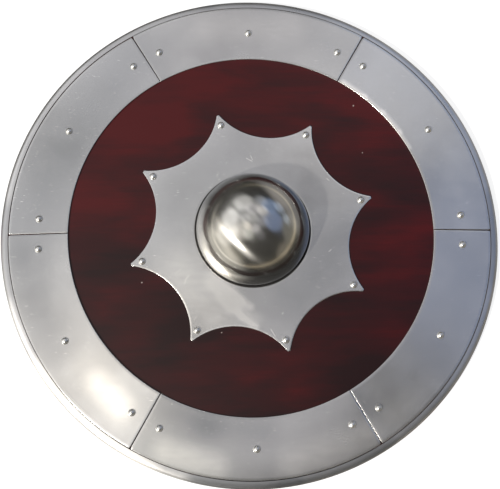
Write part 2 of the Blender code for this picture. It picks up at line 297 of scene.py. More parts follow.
# Painted shade on the border plates and on the edging, which makes parts of them duller
PLATE_PAINTED_SHADE = (
    ((-0.1043, -0.2139), (-0.0576, -0.2309), 0.0330, 0.36),
    ((-0.0576, -0.2309), (0.0083, -0.2379), 0.0330, 0.40),
    ((-0.1500, 0.2250), (-0.2750, 0.0200), 0.0850, 0.48),
    ((-0.2750, -0.0300), (-0.2400, -0.1400), 0.0400, 0.40),
    ((0.1300, 0.2300), (0.0700, 0.2560), 0.0450, 0.15),
    ((0.2100, -0.1700), (0.2720, -0.0450), 0.0550, 0.15),
)
EDGING_PAINTED_SHADE = (
    ((-0.0700, -0.2950), (0.0400, -0.3020), 0.0220, 0.90),
    ((0.0400, -0.3020), (0.1600, -0.2600), 0.0220, 0.60),
    ((-0.2000, 0.2260), (-0.0500, 0.2980), 0.0220, 0.30),
    ((-0.0500, 0.2980), (0.1000, 0.2860), 0.0220, 0.30),
    ((0.3020, 0.0400), (0.3000, -0.0600), 0.0220, 0.50),
    ((-0.3030, 0.0300), (-0.2960, -0.0700), 0.0220, 0.62),
)

# Painted highlight on the edging, which makes a part of it brighter
EDGING_PAINTED_HIGHLIGHT = (
    ((-0.2550, -0.1640), (-0.1300, -0.2740), 0.0250, 0.75),
)

# Light specks on the wood
WOOD_SPECKS = (
    ((-0.1336, -0.0621), (-0.1332, -0.0618), 0.0012, 0.8),
    ((0.1300, 0.1598), (0.1303, 0.1605), 0.0012, 0.9),
    ((0.1383, 0.0976), (0.1386, 0.0979), 0.0010, 0.7),
    ((-0.0393, -0.1232), (-0.0389, -0.1230), 0.0010, 0.8),
)


def on_dish(radius, height):
    """Distance from the axis and Z of the place at that radius and height."""
    slope = math.asin(radius / CURVE_RADIUS)
    reach = CURVE_RADIUS + height
    return reach * math.sin(slope), CENTRE_Z + reach * math.cos(slope)


def dish_point(radius, angle, height):
    out, z = on_dish(radius, height)
    return Vector((out * math.cos(angle), out * math.sin(angle), z))


def dish_frame(radius, angle):
    """Frame on the board's face, with its Z along the face's normal."""
    slope = math.asin(radius / CURVE_RADIUS)
    turn = Matrix.Rotation(angle, 4, "Z") @ Matrix.Rotation(slope, 4, "Y")
    return Matrix.Translation(dish_point(radius, angle, 0)) @ turn


def edge_drop(distance):
    """How far the rounded edge of a sheet lies under its face, that far in from the edge."""
    if distance >= EDGE_ROUND:
        return 0.0
    return EDGE_ROUND - math.sqrt(EDGE_ROUND**2 - (EDGE_ROUND - distance) ** 2)


def wave(point, size, seed):
    """Smooth noise between about -1 and 1 that changes over that length."""
    return noise.noise(point / size + Vector([seed * step for step in SEED_STEPS]))


def new_piece(name, points, faces, material, replaced, brush=0.0):
    """Makes a smooth piece that rides on the shield and stands for the CAD nodes named.

    Its UV map lies flat over the shield, with U along the brush marks.
    """
    mesh = bpy.data.meshes.new(name)
    mesh.from_pydata([tuple(p) for p in points], [], faces)
    mesh.validate()
    along = Vector((math.cos(brush), math.sin(brush), 0))
    across = Vector((-math.sin(brush), math.cos(brush), 0))
    layer = mesh.uv_layers.new(name=BRUSH_MAP)
    for loop in mesh.loops:
        place = mesh.vertices[loop.vertex_index].co
        layer.data[loop.index].uv = (place.dot(along), place.dot(across))
    mesh.materials.append(material)
    mesh.shade_smooth()
    mesh.set_sharp_from_angle(angle=SHARP_ANGLE)
    piece = bpy.data.objects.new(name, mesh)
    bpy.context.scene.collection.objects.link(piece)
    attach(piece, "root")
    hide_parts(*replaced)
    return piece


def quads_between(rows, count, wrap_rows, wrap_points):
    """Quads over a grid of rows of points, numbered row by row.

    They face the way from row to row crossed with the way from point to point.
    """
    faces = []
    last_row = rows if wrap_rows else rows - 1
    last_point = count if wrap_points else count - 1
    for i in range(last_row):
        for j in range(last_point):
            a, b = i * count, (i + 1) % rows * count
            k = (j + 1) % count
            faces.append((a + j, b + j, b + k, a + k))
    return faces


def end_caps(rows, count):
    """Faces that close the first and the last row of such a grid."""
    last = (rows - 1) * count
    return [tuple(range(count)), tuple(range(last + count - 1, last - 1, -1))]


def turned(profile, steps, closed):
    """Points and faces of a profile of (distance from the axis, Z) turned once round Z.

    The profile runs outward on top and back underneath, so that the faces look out.
    """
    points = []
    for out, z in profile:
        for step in range(steps):
            angle = math.tau * step / steps
            points.append((out * math.cos(angle), out * math.sin(angle), z))
    return points, quads_between(len(profile), steps, closed, True)


def steps_between(first, last, count):
    return [first + (last - first) * i / count for i in range(count + 1)]


def signed_power(value, power):
    return math.copysign(abs(value) ** power, value)


def rim_arc(width, half_height, count, power=1.0):
    """Half an ellipse round the board's edge, from the face over the edge to the back."""
    end = RIM_ARC_SHARE * math.pi / 2
    return [
        on_dish(
            EDGING_INNER_RADIUS + width * math.cos(a) ** power,
            BOARD_MIDDLE + half_height * signed_power(math.sin(a), power),
        )
        for a in steps_between(end, -end, count)
    ]


def make_board(material):
    steps = 240
    ledge = BOARD_MIDDLE * 2
    rebate = -SHEET - FIT
    rim = rim_arc(EDGING_WIDTH - SHEET - FIT, BOARD_THICKNESS / 2, 16)
    face = [on_dish(r, 0) for r in steps_between(FLANGE_RADIUS + FIT, EDGING_INNER_RADIUS, 22)]
    back_end = HAND_HOLE_RADIUS + HAND_HOLE_ROUND
    back = [on_dish(r, ledge) for r in steps_between(EDGING_INNER_RADIUS, back_end, 24)]
    round_edge = [
        on_dish(
            back_end - HAND_HOLE_ROUND * math.sin(a),
            ledge + HAND_HOLE_ROUND * (1 - math.cos(a)),
        )
        for a in steps_between(0, math.pi / 2, 5)
    ]
    hole = [on_dish(HAND_HOLE_RADIUS, rebate), on_dish(FLANGE_RADIUS + FIT, rebate)]
    profile = hole + face + rim[1:-1] + back + round_edge[1:]
    points, faces = turned(profile, steps, closed=True)
    return new_piece("shield_board", points, faces, material, ["board"])


def make_edging(material):
    steps = 480
    outside = rim_arc(EDGING_WIDTH, EDGING_HALF_HEIGHT, 36, EDGING_POWER)
    outside = [(min(out, SHIELD_RADIUS), max(z, 0.0)) for out, z in outside]
    inside = rim_arc(EDGING_WIDTH - SHEET, EDGING_HALF_HEIGHT - SHEET, 24, EDGING_POWER)
    profile = outside + inside[::-1]
    points, faces = turned(profile, steps, closed=True)
    return new_piece("shield_edging", points, faces, material, ["rim_edging"])


def graded(length, count):
    """Distances from 0 to length, crowded at both ends where the edges are rounded."""
    inner = steps_between(EDGE_ROUND, length - EDGE_ROUND, count)
    return list(EDGE_OFFSETS[:-1]) + inner + [length - d for d in reversed(EDGE_OFFSETS[:-1])]


def plate_lift(number, u, v):
    """How far a border plate stands off its seat, that far along and in from its inner edge."""
    tilt, bow, bend = (math.radians(slope) for slope in PLATE_LIES[number - 1])
    half = PLATE_WIDTH / 2

    def rise(side):
        return -half * (tilt * side + bow * side**2 / 2 + bend * max(side, 0.0) ** 3 / 3)

    lowest = min(rise(side) for side in steps_between(-1, 1, 20))
    length = PLATE_RIVET_RADIUS * math.tau / PLATE_COUNT - SEAM_GAP
    first, last = END_LIFTS[number - 1]
    lift = rise(v / half - 1) - lowest
    lift += first * max(0.0, 1 - u / END_REACH) ** 2
    lift += last * max(0.0, 1 - (length - u) / END_REACH) ** 2
    return lift


def make_border_plate(number, material):
    """One border plate, with rounded cut edges and its own slight unevenness."""
    pitch = math.tau / PLATE_COUNT
    start = (number - 1) * pitch
    across = graded(PLATE_OUTER_RADIUS - PLATE_INNER_RADIUS, 22)
    along = graded(PLATE_RIVET_RADIUS * pitch - SEAM_GAP, 110)
    length, width = along[-1], across[-1]
    points = []
    for top in (True, False):
        for v in across:
            clip = 0.0
            past = PLATE_CORNER - (width - v)
            if past > 0:
                clip = PLATE_CORNER - math.sqrt(max(0.0, PLATE_CORNER**2 - past**2))
            for u in along:
                share = u / length
                angle = start + (SEAM_GAP / 2 + u) / PLATE_RIVET_RADIUS
                angle += clip * (1 - 2 * share) / PLATE_RIVET_RADIUS
                radius = PLATE_INNER_RADIUS + v
                flat = Vector((radius * math.cos(angle), radius * math.sin(angle), number))
                height = PLATE_UNDERSIDE + plate_lift(number, u, v)
                height += SHEET_WAVE * wave(flat, PLATE_WAVE_LENGTH, number)
                if top:
                    nearest = min(u, length - u, v, width - v)
                    height += SHEET - edge_drop(nearest)
                points.append(dish_point(radius, angle, height))
    rows, count = len(across), len(along)
    faces = quads_between(rows, count, False, False)
    half = rows * count
    faces += [tuple(half + i for i in reversed(face)) for face in faces]
    border = list(range(count))
    border += [i * count + count - 1 for i in range(1, rows)]
    border += [(rows - 1) * count + j for j in range(count - 2, -1, -1)]
    border += [i * count for i in range(rows - 2, 0, -1)]
    for a, b in zip(border, border[1:] + border[:1]):
        faces.append((a, b, half + b, half + a))
    name = f"shield_border_plate_{number}"
    brush = math.radians(PLATE_BRUSH_TURNS[number - 1])
    replaced = [f"border_plate_{number}"]
    return new_piece(name, points, faces, material, replaced, brush)


def star_outline(arc_steps):
    """(x, y) round the pointed plate: blunt tips joined by hollow round cuts."""
    pitch = math.tau / STAR_POINTS
    corner_angle = pitch / 2 - STAR_TIP_WIDTH / 2 / STAR_TIP_RADIUS
    along = STAR_TIP_RADIUS * math.cos(corner_angle)
    across = STAR_TIP_RADIUS * math.sin(corner_angle)
    centre = (STAR_TIP_RADIUS**2 - STAR_VALLEY_RADIUS**2) / (2 * (along - STAR_VALLEY_RADIUS))
    cut_radius = centre - STAR_VALLEY_RADIUS
    half_sweep = math.asin(across / cut_radius)
    outline = []
    for point in range(STAR_POINTS):
        turn = Matrix.Rotation(STAR_TURN + pitch * (point + 0.5), 2)
        for step in range(arc_steps + 1):
            sweep = half_sweep * (2 * step / arc_steps - 1)
            x = centre - cut_radius * math.cos(sweep)
            y = cut_radius * math.sin(sweep)
            outline.append(turn @ Vector((x, y)))
    return outline


def make_star_plate(material):
    outline = star_outline(36)
    count = len(outline)
    rows = []
    for i, p in enumerate(outline):
        tangent = (outline[(i + 1) % count] - outline[i - 1]).normalized()
        inward = Vector((-tangent.y, tangent.x))
        hole = p.normalized() * STAR_HOLE_RADIUS
        edge = [p + inward * d for d in EDGE_OFFSETS]
        start = hole + p.normalized() * EDGE_ROUND
        middle = [start + (edge[-1] - start) * s for s in steps_between(0, 1, 26)]
        inner = [hole + p.normalized() * d for d in EDGE_OFFSETS[:-1]]
        row = inner + middle + edge[-2::-1]
        drops = [edge_drop(d) for d in EDGE_OFFSETS[:-1]]
        rows.append(list(zip(row, drops + [0.0] * len(middle) + drops[::-1])))
    depth = len(rows[0])
    points = []
    for top in (True, False):
        for row in rows:
            for place, drop in row:
                rise = wave(Vector((*place, 1.0)), STAR_WAVE_LENGTH, STAR_WAVE_SEED)
                height = PLATE_UNDERSIDE + SHEET_WAVE * rise + (SHEET - drop if top else 0.0)
                points.append(dish_point(place.length, math.atan2(place.y, place.x), height))
    faces = quads_between(count, depth, True, False)
    half = count * depth
    under = [tuple(half + i for i in face) for face in faces]
    faces = [tuple(reversed(face)) for face in faces] + under
    for i in range(count):
        k = (i + 1) % count
        outer_a, outer_b = i * depth + depth - 1, k * depth + depth - 1
        inner_a, inner_b = i * depth, k * depth
        faces.append((outer_b, outer_a, half + outer_a, half + outer_b))
        faces.append((inner_a, inner_b, half + inner_b, half + inner_a))
    brush = math.radians(STAR_BRUSH_TURN)
    return new_piece(
        "shield_star_plate", points, faces, material, ["star_plate"], brush
    )


def make_boss(material, gap_shade_material):
    """The dome in one piece with its flange, which is painted near-black as shade where the gap round
    it shows it.
    """
    steps = 192
    foot_out, foot_z = on_dish(BOSS_RADIUS, 0)
    dome = [
        (foot_out * math.cos(a), foot_z + BOSS_HEIGHT * math.sin(a))
        for a in steps_between(DOME_TOP, DOME_FOOT, 72)
    ]
    flange = [
        on_dish(BOSS_RADIUS + BOSS_FILLET_MIDDLE, BOSS_FILLET_MIDDLE),
        on_dish(BOSS_RADIUS + BOSS_FILLET, 0),
        on_dish(FLANGE_RADIUS, 0),
        on_dish(FLANGE_RADIUS, -SHEET),
        on_dish(BOSS_RADIUS, -SHEET),
    ]
    inside = [
        ((foot_out - SHEET) * math.cos(a), foot_z + (BOSS_HEIGHT - SHEET) * math.sin(a))
        for a in steps_between(0, DOME_TOP, 48)
    ]
    profile = dome + flange + inside
    points, faces = turned(profile, steps, closed=False)
    top = len(points)
    points += [(0, 0, foot_z + BOSS_HEIGHT), (0, 0, foot_z + BOSS_HEIGHT - SHEET)]
    last = (len(profile) - 1) * steps
    for j in range(steps):
        k = (j + 1) % steps
        faces.append((top, j, k))
        faces.append((top + 1, last + k, last + j))
    brush = math.radians(BOSS_BRUSH_TURN)
    piece = new_piece("shield_boss", points, faces, material, ["boss"], brush)
    piece.data.materials.append(gap_shade_material)
    for face in piece.data.polygons:
        if (len(dome) - 1) * steps <= face.index < (len(dome) + len(flange)) * steps:
            face.material_index = 1
    return piece


def rivet_shape(draw, lift, tail_seat):
    """Profile of one rivet, each a little different, from its head's top to its tail's tip."""
    radius = RIVET_HEAD_RADIUS * draw.uniform(*HEAD_RADIUS_SHARE)
    height = RIVET_HEAD_HEIGHT * draw.uniform(*HEAD_HEIGHT_SHARE)
    seat = PLATE_TOP + lift
    cap = height - RIVET_LIP
    cap_radius = (radius**2 + cap**2) / (2 * cap)
    full = math.asin(radius / cap_radius)
    cap_foot = seat + height - cap_radius
    head = [
        (cap_radius * math.sin(a), cap_foot + cap_radius * math.cos(a))
        for a in steps_between(RIVET_CROWN, full, 10)
    ]
    head += [(radius, seat)]
    tail_radius = RIVET_TAIL_RADIUS * draw.uniform(*TAIL_RADIUS_SHARE)
    tail_height = RIVET_TAIL_HEIGHT * draw.uniform(*TAIL_HEIGHT_SHARE)
    tail = [
        (tail_radius * math.cos(a), tail_seat - tail_height * math.sin(a))
        for a in steps_between(0, RIVET_TAIL_SWEEP, 7)
    ]
    return head + [(RIVET_SHANK_RADIUS, seat), (RIVET_SHANK_RADIUS, tail_seat)] + tail


def make_rivet(solid, radius, angle, lift, tail_seat, draw, material):
    steps = 28
    profile = rivet_shape(draw, lift, tail_seat)
    points, faces = turned(profile, steps, closed=False)
    faces += end_caps(len(profile), steps)
    place = dish_frame(radius, angle)
    points = [place @ Vector(p) for p in points]
    return new_piece(f"shield_{solid}", points, faces, material, [solid])


def grip_back_z():
    return on_dish(GRIP_REACH, -BOARD_THICKNESS - FIT)[1] - GRIP_END_THICKNESS


def make_rivets(material):
    draw = random.Random(RIVET_SEED)
    pitch = math.tau / PLATE_COUNT
    end_angle = END_RIVET_OFFSET / PLATE_RIVET_RADIUS
    short = -BOARD_THICKNESS - RIVET_TAIL_GAP
    number = 0
    for plate in range(PLATE_COUNT):
        for angle in (end_angle, pitch / 2, pitch - end_angle):
            number += 1
            solid = f"border_rivet_{number:02d}"
            lift = plate_lift(plate + 1, angle * PLATE_RIVET_RADIUS, PLATE_WIDTH / 2)
            turn = plate * pitch + angle
            make_rivet(solid, PLATE_RIVET_RADIUS, turn, lift, short, draw, material)
    slope = math.asin(STAR_RIVET_RADIUS / CURVE_RADIUS)
    grip_depth = (on_dish(STAR_RIVET_RADIUS, 0)[1] - grip_back_z()) / math.cos(slope)
    long = -grip_depth - RIVET_TAIL_RADIUS * math.tan(slope) - RIVET_TAIL_GAP
    for point in range(STAR_POINTS):
        angle = STAR_TURN + math.tau * point / STAR_POINTS
        seat = long if point in (0, STAR_POINTS // 2) else short
        solid = f"star_rivet_{point + 1}"
        make_rivet(solid, STAR_RIVET_RADIUS, angle, 0.0, seat, draw, material)


def grip_half_width(along):
    share = min(1.0, abs(along) / HAND_HOLE_RADIUS)
    ease = share * share * (3 - 2 * share)
    half = (GRIP_HAND_WIDTH + (GRIP_END_WIDTH - GRIP_HAND_WIDTH) * ease) / 2
    past = abs(along) - (GRIP_REACH - GRIP_END_WIDTH / 2)
    if past > 0:
        half = math.sqrt(max(half**2 - past**2, (GRIP_TIP_WIDTH / 2) ** 2))
    return half


def make_grip(material):
    stations, around = 80, 32
    low = grip_back_z()
    turn = Matrix.Rotation(STAR_TURN, 4, "Z")
    points = []
    for station in range(stations + 1):
        along = GRIP_REACH * math.cos(math.pi * station / stations)
        half = grip_half_width(along)
        top = on_dish(math.hypot(along, half), -BOARD_THICKNESS - FIT)[1]
        hold = math.exp(-((along / GRIP_HAND_REACH) ** 4))
        power = GRIP_END_POWER + (GRIP_HAND_POWER - GRIP_END_POWER) * hold
        middle, reach = (top + low) / 2, (top - low) / 2
        for step in range(around):
            a = math.tau * step / around
            y = half * signed_power(math.cos(a), power)
            z = middle + reach * signed_power(math.sin(a), power)
            points.append(turn @ Vector((along, y, z)))
    faces = quads_between(stations + 1, around, False, True)
    faces += end_caps(stations + 1, around)
    return new_piece("shield_grip", points, faces, material, ["grip"])


def node(tree, kind, inputs=None, **settings):
    """Adds a shader node. Its inputs take plain values or other nodes' output sockets."""
    made = tree.nodes.new(kind)
    for key, value in settings.items():
        setattr(made, key, value)
    for key, value in (inputs or {}).items():
        if isinstance(value, bpy.types.NodeSocket):
            tree.links.new(value, made.inputs[key])
        else:
            made.inputs[key].default_value = value
    return made


def mixed(tree, share, first, second):
    """Colour that goes from the first to the second as the share goes from 0 to 1."""
    made = node(tree, "ShaderNodeMix", {"Factor": share}, data_type="RGBA")
    for socket, colour in ((made.inputs[6], first), (made.inputs[7], second)):
        if isinstance(colour, bpy.types.NodeSocket):
            tree.links.new(colour, socket)
        else:
            socket.default_value = (*colour, 1)
    return made.outputs[2]


def new_material(name):
    material = bpy.data.materials.new(name)
    material.use_nodes = True
    tree = material.node_tree
    return material, tree, tree.nodes["Principled BSDF"]


def plain_material(name, colour, roughness):
    material, _, shader = new_material(name)
    shader.inputs["Base Color"].default_value = (*colour, 1)
    shader.inputs["Roughness"].default_value = roughness
    return material, shader


def ramp(tree, value, stops):
    """Colour that runs through the stops, which are (place, colour)."""
    made = node(tree, "ShaderNodeValToRGB", {"Fac": value})
    stops = list(stops)
    elements = made.color_ramp.elements
    while len(elements) < len(stops):
        elements.new(0.5)
    for element, (place, colour) in zip(elements, stops):
        element.position = place
        element.color = (*colour, 1.0)
    return made.outputs["Color"]


def maths(tree, operation, *values, clamp=False):
    """Output of a Math node with those inputs."""
    inputs = dict(enumerate(values))
    return node(tree, "ShaderNodeMath", inputs, operation=operation, use_clamp=clamp).outputs["Value"]


def vector_maths(tree, operation, *values):
    """Output of a Vector Math node, which is a single value for two of the operations."""
    made = node(tree, "ShaderNodeVectorMath", dict(enumerate(values)), operation=operation)
    return made.outputs["Value" if operation in ("DOT_PRODUCT", "DISTANCE") else "Vector"]


def scaled(tree, vector, factor):
    inputs = {0: vector, "Scale": factor}
    return node(tree, "ShaderNodeVectorMath", inputs, operation="SCALE").outputs["Vector"]


def ranged(tree, value, start, end, first=0.0, last=1.0, smooth=False):
    """Goes from the first to the last value as the given one goes from start to end."""
    return node(
        tree, "ShaderNodeMapRange",
        {"Value": value, "From Min": start, "From Max": end, "To Min": first, "To Max": last},
        interpolation_type="SMOOTHSTEP" if smooth else "LINEAR",
    ).outputs["Result"]


def placed(tree, where, scale, turn=0.0, shift=0.0):
    """That place in the pattern of a noise, scaled, turned about Z and shifted."""
    return node(
        tree, "ShaderNodeMapping",
        {"Vector": where, "Location": (shift, shift, 0.0),
         "Rotation": (0.0, 0.0, turn), "Scale": scale},
    ).outputs["Vector"]


def noisy(tree, where, detail, scale=1.0, distortion=0.0):
    """Smooth noise round one half."""
    return node(
        tree, "ShaderNodeTexNoise",
        {"Vector": where, "Scale": scale, "Detail": detail, "Distortion": distortion},
    ).outputs["Fac"]


def total(tree, values):
    """Sum of the values."""
    result = values[0]
    for value in values[1:]:
        result = maths(tree, "ADD", result, value)
    return result


def stroke(tree, flat, start, end, half_width):
    """1 on the line from one (x, y) to the other, falling to 0 at that distance from it."""
    first = Vector((*start, 0))
    line = Vector((*end, 0)) - first
    off = vector_maths(tree, "SUBTRACT", flat, first)
    share = vector_maths(tree, "DOT_PRODUCT", off, line / line.length_squared)
    share = maths(tree, "ADD", share, 0.0, clamp=True)
    gap = vector_maths(tree, "DISTANCE", off, scaled(tree, line, share))
    return ranged(tree, gap, half_width, 0.0, smooth=True)


def strokes(tree, where, table):
    """Sum of the marks of the table, whatever the height."""
    flat = vector_maths(tree, "MULTIPLY", where, (1.0, 1.0, 0.0))
    return total(tree, [
        maths(tree, "MULTIPLY", stroke(tree, flat, start, end, half_width), strength)
        for start, end, half_width, strength in table
    ])


def scuffs(tree, where):
    """Sparse short fine scratches that run several ways."""
    layers = []
    for turn, shift in SCUFF_LAYERS:
        place = placed(tree, where, SCUFF_SCALE, math.radians(turn), shift)
        layers.append(ranged(tree, noisy(tree, place, 1.0), *SCUFF_RANGE))
    return total(tree, layers)


def brush_marks(tree, shader, where, ways):
    """Fine lines along the piece's brush map or round its rim. Glints spread across them."""
    if ways == "flat":
        uv = node(tree, "ShaderNodeUVMap", uv_map=BRUSH_MAP).outputs["UV"]
        lined = placed(tree, uv, BRUSH_SCALE)
        tangent = node(tree, "ShaderNodeTangent", direction_type="UV_MAP", uv_map=BRUSH_MAP)
    else:
        lined = placed(tree, where, ROUND_BRUSH_SCALE)
        tangent = node(tree, "ShaderNodeTangent", direction_type="RADIAL", axis="Z")
    tree.links.new(tangent.outputs["Tangent"], shader.inputs["Tangent"])
    shader.inputs["Anisotropic Rotation"].default_value = GLINT_TURN if ways == "flat" else 0.0
    return noisy(tree, lined, 2.0)


def painted_foot_shade(tree, where, foot_shade, tone):
    """The tone, giving way to a painted shade near the board but not on the lit side."""
    height = node(tree, "ShaderNodeSeparateXYZ", {"Vector": where}).outputs["Z"]
    above = ranged(tree, height, *FOOT_SHADE_HEIGHTS, smooth=True)
    aside = vector_maths(tree, "DOT_PRODUCT", where, LIT_SIDE_WAY)
    lit_side = ranged(tree, aside, *LIT_SIDE_REACH, smooth=True)
    return mixed(tree, maths(tree, "MAXIMUM", above, lit_side), foot_shade, tone)


def with_painted_highlight(tree, where, table, tone):
    """The tone with the painted highlights of the table, which are a little uneven."""
    place = placed(tree, where, PAINTED_HIGHLIGHT_SCALE, PAINTED_HIGHLIGHT_TURN)
    uneven = ranged(tree, noisy(tree, place, 3.0), *NOISE_MIDDLE, *PAINTED_HIGHLIGHT_SHARE)
    bright = maths(tree, "MULTIPLY", strokes(tree, where, table), uneven, clamp=True)
    return mixed(tree, bright, tone, SCRATCH_AND_HIGHLIGHT_COLOUR)


def steel(
    name, colour, roughness, stretch=0.0, ways="flat", spread=0.03, matte=0.12,
    foot_shade=None, waves=0.0, scuffed=False, scratches=(), painted_highlight=(), shade=(),
):
    """Buffed steel, with brush marks along the piece's UV map or round its rim, and blotches.

    The matte share shows shadows and scattered light. Foot shade is a painted shade on the boss near
    the board, kept off its lit side. Waves is the height of the gentle waves.
    Scratches is a table of marks; the painted highlight and shade tables are painted highlights and
    painted shade.
    """
    material, tree, shader = new_material(name)
    where = node(tree, "ShaderNodeTexCoord").outputs["Object"]
    marks = brush_marks(tree, shader, where, ways)
    blotch = noisy(tree, where, 4.0, BLOTCH_SCALE)
    uneven = ranged(tree, blotch, *NOISE_RANGE, roughness - spread, roughness + spread)
    rough = maths(tree, "MULTIPLY_ADD", marks, BRUSH_ROUGHNESS, uneven)
    tree.links.new(rough, shader.inputs["Roughness"])
    dark, light = [[part * share for part in colour] for share in BLOTCH_TONES]
    tone = mixed(tree, ranged(tree, blotch, *NOISE_MIDDLE), dark, light)
    # Painted shade: darker towards the boss's foot, except on its lit side
    if foot_shade:
        tone = painted_foot_shade(tree, where, foot_shade, tone)
    # Painted shade: the marks of the shade table darken the colour
    if shade:
        tone = mixed(tree, strokes(tree, where, shade), tone, PAINTED_SHADE_COLOUR)
    # Painted highlights: the marks of this table lighten the colour
    if painted_highlight:
        tone = with_painted_highlight(tree, where, painted_highlight, tone)
    lines = [scuffs(tree, where)] if scuffed else []
    if scratches:
        lines.append(strokes(tree, where, scratches))
    if lines:
        share = maths(tree, "ADD", total(tree, lines), 0.0, clamp=True)
        tone = mixed(tree, share, tone, SCRATCH_AND_HIGHLIGHT_COLOUR)
    tree.links.new(tone, shader.inputs["Base Color"])
    bump = node(
        tree, "ShaderNodeBump",
        {"Height": marks, "Strength": BRUSH_STRENGTH, "Distance": BRUSH_DEPTH},
    ).outputs["Normal"]
    if waves:
        swell = noisy(tree, where, 2.0, SWELL_SCALE)
        bump = node(
            tree, "ShaderNodeBump",
            {"Height": swell, "Strength": 1.0, "Distance": waves, "Normal": bump},
        ).outputs["Normal"]
    tree.links.new(bump, shader.inputs["Normal"])
    shader.inputs["Metallic"].default_value = 1.0 - matte
    shader.inputs["Anisotropic"].default_value = stretch
    return material


def stained_wood(name, dark, middle, red, roughness, turn=0.0, fade=0.0, specks=()):
    """Dark stained wood with streaks along one way, under a satin varnish.

    The fade makes the stain redder along its way. Specks is a table of marks.
    """
    material, tree, shader = new_material(name)
    where = node(tree, "ShaderNodeTexCoord").outputs["Object"]

    def streaks(scale, distortion=0.0):
        return noisy(tree, placed(tree, where, scale, -turn), 3.0, distortion=distortion)

    broad = streaks(BROAD_STREAKS, BROAD_DISTORTION)
    middling = streaks(MIDDLING_STREAKS)
    fine = streaks(FINE_STREAKS)
    share = maths(tree, "MULTIPLY", vector_maths(tree, "DOT_PRODUCT", where, FADE_WAY), fade)
    share = maths(tree, "MULTIPLY_ADD", broad, BROAD_WEIGHT, share)
    share = maths(tree, "MULTIPLY_ADD", middling, MIDDLING_WEIGHT, share)
    share = maths(tree, "MULTIPLY_ADD", fine, FINE_WEIGHT, share)
    tone = ramp(tree, share, zip(STAIN_SHARES, (dark, middle, red)))
    if specks:
        tone = mixed(tree, strokes(tree, where, specks), tone, SPECK_COLOUR)
    tree.links.new(tone, shader.inputs["Base Color"])
    bump = node(
        tree, "ShaderNodeBump",
        {"Height": fine, "Strength": GRAIN_STRENGTH, "Distance": GRAIN_DEPTH},
    ).outputs["Normal"]
    tree.links.new(bump, shader.inputs["Normal"])
    rough = ranged(tree, middling, 0.0, 1.0, roughness - VARNISH_SPREAD, roughness + VARNISH_SPREAD)
    tree.links.new(rough, shader.inputs["Roughness"])
    shader.inputs["IOR"].default_value = VARNISH_IOR
    return material


# The floor: its half width, its colour and how brightly it glows
FLOOR_REACH = 8.0
FLOOR_COLOUR = (0.3, 0.3, 0.3)
FLOOR_GLOW = 0.8


def make_floor():
    """White paper that glows a little, so that it stays pale. The steel doesn't mirror it."""
    signs = ((-1, -1), (1, -1), (1, 1), (-1, 1))
    corners = [(x * FLOOR_REACH, y * FLOOR_REACH, 0) for x, y in signs]
    mesh = bpy.data.meshes.new("floor")
    mesh.from_pydata(corners, [], [(0, 1, 2, 3)])
    floor = bpy.data.objects.new("floor", mesh)
    bpy.context.scene.collection.objects.link(floor)
    material, shader = plain_material("floor_paper", FLOOR_COLOUR, 0.9)
    shader.inputs["Emission Color"].default_value = (1, 1, 1, 1)
    shader.inputs["Emission Strength"].default_value = FLOOR_GLOW
    mesh.materials.append(material)
    floor.visible_glossy = False


def make_camera():
    """The photograph's view: nearly from above, from a little left of the shield's foot."""
    back = Vector((
        math.sin(CAMERA_TILT) * math.sin(CAMERA_TURN),
        -math.sin(CAMERA_TILT) * math.cos(CAMERA_TURN),
        math.cos(CAMERA_TILT),
    ))
    right = Vector((0, 1, 0)).cross(back).normalized()
    up = back.cross(right)
    turned_right = math.cos(CAMERA_ROLL) * right + math.sin(CAMERA_ROLL) * up
    turned_up = back.cross(turned_right)
    aim = Vector((CAMERA_AIM_X, CAMERA_AIM_Y, on_dish(SHIELD_RADIUS, 0)[1]))
    data = bpy.data.cameras.new("camera")
    data.lens = FOCAL_LENGTH_PX * data.sensor_width / IMAGE_WIDTH_PX
    camera = bpy.data.objects.new("camera", data)
    bpy.context.scene.collection.objects.link(camera)
    axes = Matrix((turned_right, turned_up, back)).transposed()
    camera.matrix_world = Matrix.Translation(aim + back * CAMERA_DISTANCE) @ axes.to_4x4()
    bpy.context.scene.camera = camera


def sky_direction(azimuth, elevation):
    a, e = math.radians(azimuth), math.radians(elevation)
    return Vector((math.cos(a) * math.cos(e), math.sin(a) * math.cos(e), math.sin(e)))


# Faint light from everywhere
ROOM_COLOUR = (0.036, 0.035, 0.031)

